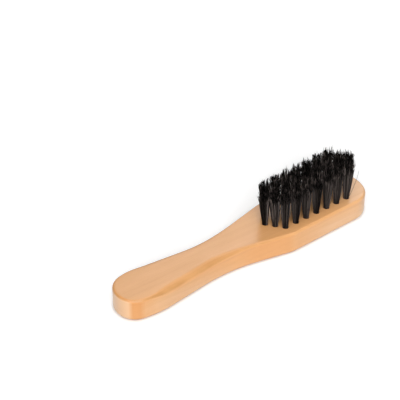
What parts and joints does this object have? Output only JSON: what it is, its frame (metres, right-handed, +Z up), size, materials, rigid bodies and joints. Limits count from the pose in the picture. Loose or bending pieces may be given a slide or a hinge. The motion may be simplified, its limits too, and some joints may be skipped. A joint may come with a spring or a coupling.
{
  "type": "shoe shine brush",
  "caption": "Flat wooden brush with a waisted grip and a rounded head set with staggered tufts of dark bristle, for brushing and shining shoes.",
  "frame": {"origin": "middle of the handle's back face, under the middle of the overall length and width", "axes": "+X along the handle from the grip towards the head, +Y to the left, +Z up out of the bristled face"},
  "size_m": [0.1788, 0.035, 0.0397],
  "materials": {
    "handle_wood": "satin",
    "bristle": "satin",
    "anchor_steel": "satin"
  },
  "bodies": {
    "root": {"wooden_handle": "handle_wood", "tuft_anchors": "anchor_steel", "tuft_row1_1": "bristle", "tuft_row1_2": "bristle", "tuft_row1_3": "bristle", "tuft_row1_4": "bristle", "tuft_row1_5": "bristle", "tuft_row1_6": "bristle", "tuft_row1_7": "bristle", "tuft_row2_1": "bristle", "tuft_row2_2": "bristle", "tuft_row2_3": "bristle", "tuft_row2_4": "bristle", "tuft_row2_5": "bristle", "tuft_row2_6": "bristle", "tuft_row2_7": "bristle", "tuft_row2_8": "bristle", "tuft_row3_1": "bristle", "tuft_row3_2": "bristle", "tuft_row3_3": "bristle", "tuft_row3_4": "bristle", "tuft_row3_5": "bristle", "tuft_row3_6": "bristle", "tuft_row3_7": "bristle", "tuft_row3_8": "bristle", "tuft_row3_9": "bristle", "tuft_row4_1": "bristle", "tuft_row4_2": "bristle", "tuft_row4_3": "bristle", "tuft_row4_4": "bristle", "tuft_row4_5": "bristle", "tuft_row4_6": "bristle", "tuft_row4_7": "bristle", "tuft_row4_8": "bristle", "tuft_row5_1": "bristle", "tuft_row5_2": "bristle", "tuft_row5_3": "bristle", "tuft_row5_4": "bristle", "tuft_row5_5": "bristle", "tuft_row5_6": "bristle", "tuft_row5_7": "bristle"}
  },
  "joints": []
}
